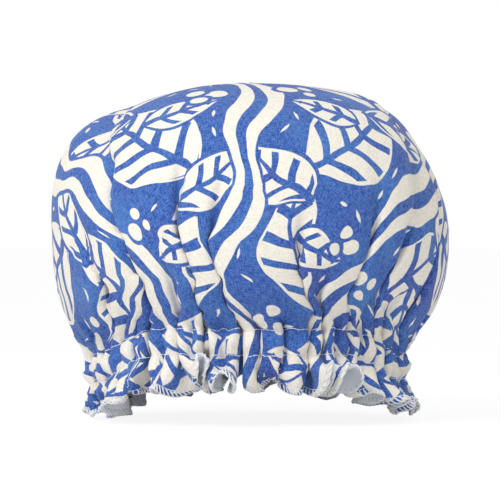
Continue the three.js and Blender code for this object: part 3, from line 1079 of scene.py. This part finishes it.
def tubes(name, paths, ups, wide, thick, sides, closed=False):
    """Threads along paths, each an array of points, flattened along ups, with maps of length and turn."""
    points, faces, turns = [], [], []
    count = 0
    around = 2 * np.pi * np.arange(sides) / sides
    for path, up in zip(paths, ups):
        ahead = np.gradient(path, axis=0)
        if closed:
            ahead = np.roll(path, -1, axis=0) - np.roll(path, 1, axis=0)
        ahead = unit(ahead)
        across = unit(np.cross(ahead, up))
        over = np.cross(across, ahead)
        ring = across[:, None] * np.cos(around)[None, :, None] * wide
        ring = ring + over[:, None] * np.sin(around)[None, :, None] * thick
        points.append((path[:, None] + ring).reshape(-1, 3))
        size = len(path)
        grid = count + np.arange(size * sides).reshape(size, sides)
        for a in range(size if closed else size - 1):
            b = (a + 1) % size
            faces += list(zip(grid[a], np.roll(grid[a], -1), np.roll(grid[b], -1), grid[b]))
        if not closed:
            faces += [tuple(grid[0][::-1]), tuple(grid[-1])]
        way = np.concatenate([[0], np.cumsum(np.linalg.norm(np.diff(path, axis=0), axis=1))])
        turns.append(np.stack([np.repeat(way, sides), np.tile(around, size)], 1))
        count += size * sides
    mesh = smooth_mesh(name, np.concatenate(points), faces)
    add_map(mesh, "thread", np.concatenate(turns))
    return in_scene(name, mesh)


def sewing_thread():
    """White twisted thread: slanted strands on a round yarn."""
    material, wire, shader = finish_of("sewing_thread", roughness=0.6, sheen=0.3)
    place = wire.node("ShaderNodeUVMap", {"uv_map": "thread"})
    split = wire.node("ShaderNodeSeparateXYZ", inputs={0: place})
    slant = split * (2 * np.pi / strand_pitch) + split.output("Y") * strand_count
    strand = slant.math("SINE") * 0.5 + 0.5
    wire.mixed((1 - strand) * strand_shade, thread_white, thread_shade).feed(shader, "Base Color")
    strand.bumped(strength=0.5, distance=0.0001).feed(shader, "Normal")
    return material


white_thread = sewing_thread()
lap_share = lap_turn / (2 * np.pi + lap_turn)
lap_length = lap_turn * ring_half[1]
steps = np.linspace(0, 1, zigzag_steps * zigzag_peaks + 1)
along = zigzag_margin / lap_length + (1 - 2 * zigzag_margin / lap_length) * steps
swing = 2 / np.pi * np.arcsin(zigzag_sharpness * np.sin(np.pi * (zigzag_peaks * steps - 0.5)))
stand = elastic_thickness / 2 + thread_half
zigzag = on_elastic(1 - lap_share * along, stand, zigzag_reach * swing)
zigzag_up = zigzag * (1, 1, 0)
join = tubes("elastic_join", [zigzag], [zigzag_up], thread_half, thread_half, zigzag_sides)
join.data.materials.append(white_thread)
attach(join, "root")
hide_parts("elastic_join_stitching")


# Channel seams
# Two rows of white lockstitch through the cloth and the film, above and below the elastic.
# The needle thread lies on the cloth and the bobbin thread on the film, stitch by stitch.
stitch_pitch = 0.0028
stitch_length = 0.0027
stitch_rise = np.array([-0.6, 0.6, 0.9, 0.6, -0.6])
stitch_width = 1.15
stitch_flatness = 0.9
thread_sides = 6
outer_normals = outward(outer_points)
lining_normals = outward(lining_points)
cloth_face = outer_points + outer_normals * (layer_gap / 2 + cloth_thickness)
film_face = lining_points - lining_normals * (layer_gap / 2 + film_thickness)


def stitches(name, line, up, pitch, length):
    """A row of short stitches round a closed line, each with its ends in the cloth."""
    closed = np.concatenate([line, line[:1]])
    way = np.concatenate([[0], np.cumsum(np.linalg.norm(np.diff(closed, axis=0), axis=1))])
    count = int(round(way[-1] / pitch))
    starts = np.arange(count) * way[-1] / count
    places = starts[:, None] + np.linspace(0, 1, len(stitch_rise)) * length

    def at(values):
        ring = np.concatenate([values, values[:1]])
        return np.stack([np.interp(places % way[-1], way, ring[:, i]) for i in range(3)], -1)

    ups = at(up)
    paths = at(line) + ups * (thread_half * stitch_rise)[None, :, None]
    return tubes(name, paths, ups, thread_half * stitch_width, thread_half * stitch_flatness, thread_sides)


seams = [
    ("upper_seam_needle", upper_row, cloth_face, outer_normals, "upper_seam_needle_thread"),
    ("upper_seam_bobbin", upper_row, film_face, -lining_normals, "upper_seam_bobbin_thread"),
    ("lower_seam_needle", lower_row, cloth_face, outer_normals, "lower_seam_needle_thread"),
    ("lower_seam_bobbin", lower_row, film_face, -lining_normals, "lower_seam_bobbin_thread"),
]
for name, row, face, normals, node in seams:
    seam = stitches(name, face[row_points[row]], normals[row_points[row]], stitch_pitch, stitch_length)
    seam.data.materials.append(white_thread)
    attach(seam, "root")
    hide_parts(node)


# Overlock needle thread
# A straight row of white stitches, one overlock width in from the raw edge of both layers.
# It holds the looper threads that wrap the edge.
loop_pitch = 0.0023
overlock_stitch = 0.002
overlock_points = row_points[overlock_row]
needle_line = cloth_face[overlock_points]
needle = stitches("overlock_needle", needle_line, outer_normals[overlock_points], loop_pitch, overlock_stitch)
needle.data.materials.append(white_thread)
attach(needle, "root")
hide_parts("overlock_needle_thread")


# Overlock looper wrap
# Bulky white looper threads that go from the needle row over the raw edge and back under it.
# The loops slant and leave the cloth showing between them, and meet in a chain along the edge.
loop_half_width = 0.00048
loop_half_thick = 0.0003
chain_half = 0.00032
loop_slant = 0.35
edge_lean = 0.4
sunk = -0.5
on_face = 0.8
at_edge = 0.9
past_edge = 1.6
hem_points = row_points[-1]
between_points = row_points[-2]
hem_line = (cloth_face[hem_points] + film_face[hem_points]) / 2
down = hem_line - (cloth_face[overlock_points] + film_face[overlock_points]) / 2
down /= np.linalg.norm(down, axis=1)[:, None]
hem_length = np.linalg.norm(np.roll(hem_line, -1, axis=0) - hem_line, axis=1).sum()
loop_count = int(round(hem_length / loop_pitch))


def round_hem(values, places):
    """Values of a row of the hem at places counted in columns."""
    first = np.floor(places).astype(int)
    share = (places - first)[:, None]
    return values[first % hem_columns] * (1 - share) + values[(first + 1) % hem_columns] * share


# Where a loop runs: a line round the hem, the way out from it, and its height over the line in half threads
stations = [
    (cloth_face[overlock_points], outer_normals[overlock_points], sunk),
    (cloth_face[between_points], outer_normals[between_points], on_face),
    (cloth_face[hem_points], outer_normals[hem_points] + edge_lean * down, at_edge),
    (hem_line, down, past_edge),
    (film_face[hem_points], -lining_normals[hem_points] + edge_lean * down, at_edge),
    (film_face[between_points], -lining_normals[between_points], on_face),
    (film_face[overlock_points], -lining_normals[overlock_points], sunk),
]
loop_places = np.arange(loop_count) * hem_columns / loop_count
slant = loop_slant * hem_columns / loop_count
loop_paths = []
loop_ups = []
for i, (line, up, height) in enumerate(stations):
    places = loop_places + slant * i
    ups = round_hem(up, places)
    loop_ups.append(ups)
    loop_paths.append(round_hem(line, places) + ups * height * loop_half_thick)
loop_paths = np.stack(loop_paths, 1)
loop_ups = np.stack(loop_ups, 1)
wrap = tubes("overlock_loops", loop_paths, loop_ups, loop_half_width, loop_half_thick, thread_sides)
wrap.data.materials.append(white_thread)
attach(wrap, "root")
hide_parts("overlock_looper_wrap")
chain_places = np.arange(2 * loop_count) * hem_columns / (2 * loop_count)
chain_down = round_hem(down, chain_places)
chain_path = round_hem(hem_line, chain_places) + chain_down * chain_half
chain = tubes("overlock_chain", [chain_path], [chain_down], chain_half, chain_half, thread_sides, closed=True)
chain.data.materials.append(white_thread)
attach(chain, "root")


# Floor, light and camera
# A plain pale floor under an even white sky, a window-like lamp in front, high on the left,
# and a camera in front of the cap, a little above its middle.
floor_radius = 12
floor_sides = 64
floor_white = linear(246, 246, 246)
white_share = 0.85
paper_glow = 1.05
sky_light = 0.63
pure_white = (1, 1, 1, 1)


def seen_straight(wire):
    """1 for what the camera sees, also in a reflection or through glass, and 0 for light on the object."""
    path = wire.node("ShaderNodeLightPath")
    return (path + path.output("Is Glossy Ray") + path.output("Is Transmission Ray")).clamped()


def white_paper():
    """Matt paper that is nearly pure white to the eye and still keeps a faint shadow."""
    material, wire, shader = finish_of("white_paper", roughness=0.9, sheen=0.0)
    shader.inputs["Base Color"].default_value = floor_white
    glow = wire.node("ShaderNodeEmission", inputs={"Strength": paper_glow})
    matt = Wire(wire.tree, shader.outputs[0])
    share = seen_straight(wire) * white_share
    paper = wire.node("ShaderNodeMixShader", inputs={0: share, 1: matt, 2: glow})
    paper.feed(wire.tree.nodes["Material Output"], "Surface")
    return material


turn = np.linspace(0, 2 * np.pi, floor_sides + 1)[:-1]
floor_edge = [(floor_radius * np.sin(angle), -floor_radius * np.cos(angle), 0) for angle in turn]
floor_mesh = bpy.data.meshes.new("floor")
floor_mesh.from_pydata(floor_edge, [], [tuple(range(floor_sides))])
floor = in_scene("floor", floor_mesh)
floor.data.materials.append(white_paper())

scene = bpy.context.scene
scene.view_settings.view_transform = "Standard"
sky = bpy.data.worlds.new("white_sky")
sky.use_nodes = True
sky_wire = Wire(sky.node_tree)
dim = sky_wire.node("ShaderNodeBackground", inputs={"Color": pure_white, "Strength": sky_light})
white = sky_wire.node("ShaderNodeBackground", inputs={"Color": pure_white, "Strength": 1.0})
both = sky_wire.node("ShaderNodeMixShader", inputs={0: seen_straight(sky_wire), 1: dim, 2: white})
both.feed(sky.node_tree.nodes["World Output"], "Surface")
scene.world = sky

look_at = Vector((0, 0, 0.098))
lamp_data = bpy.data.lights.new("lamp", "AREA")
lamp_data.energy = 15.5
lamp_data.size = 0.6
lamp = bpy.data.objects.new("lamp", lamp_data)
lamp.location = (-0.7, -1.2, 1.25)
lamp.rotation_euler = (look_at - lamp.location).to_track_quat("-Z", "Y").to_euler()
scene.collection.objects.link(lamp)

camera_distance = 2.4
camera_rise = np.radians(0.5)
frame_width = 0.290
camera_data = bpy.data.cameras.new("camera")
camera_data.lens = camera_data.sensor_width * camera_distance / frame_width
camera = bpy.data.objects.new("camera", camera_data)
camera.location = look_at + camera_distance * Vector((0, -np.cos(camera_rise), np.sin(camera_rise)))
camera.rotation_euler = (look_at - camera.location).to_track_quat("-Z", "Y").to_euler()
scene.collection.objects.link(camera)
scene.camera = camera
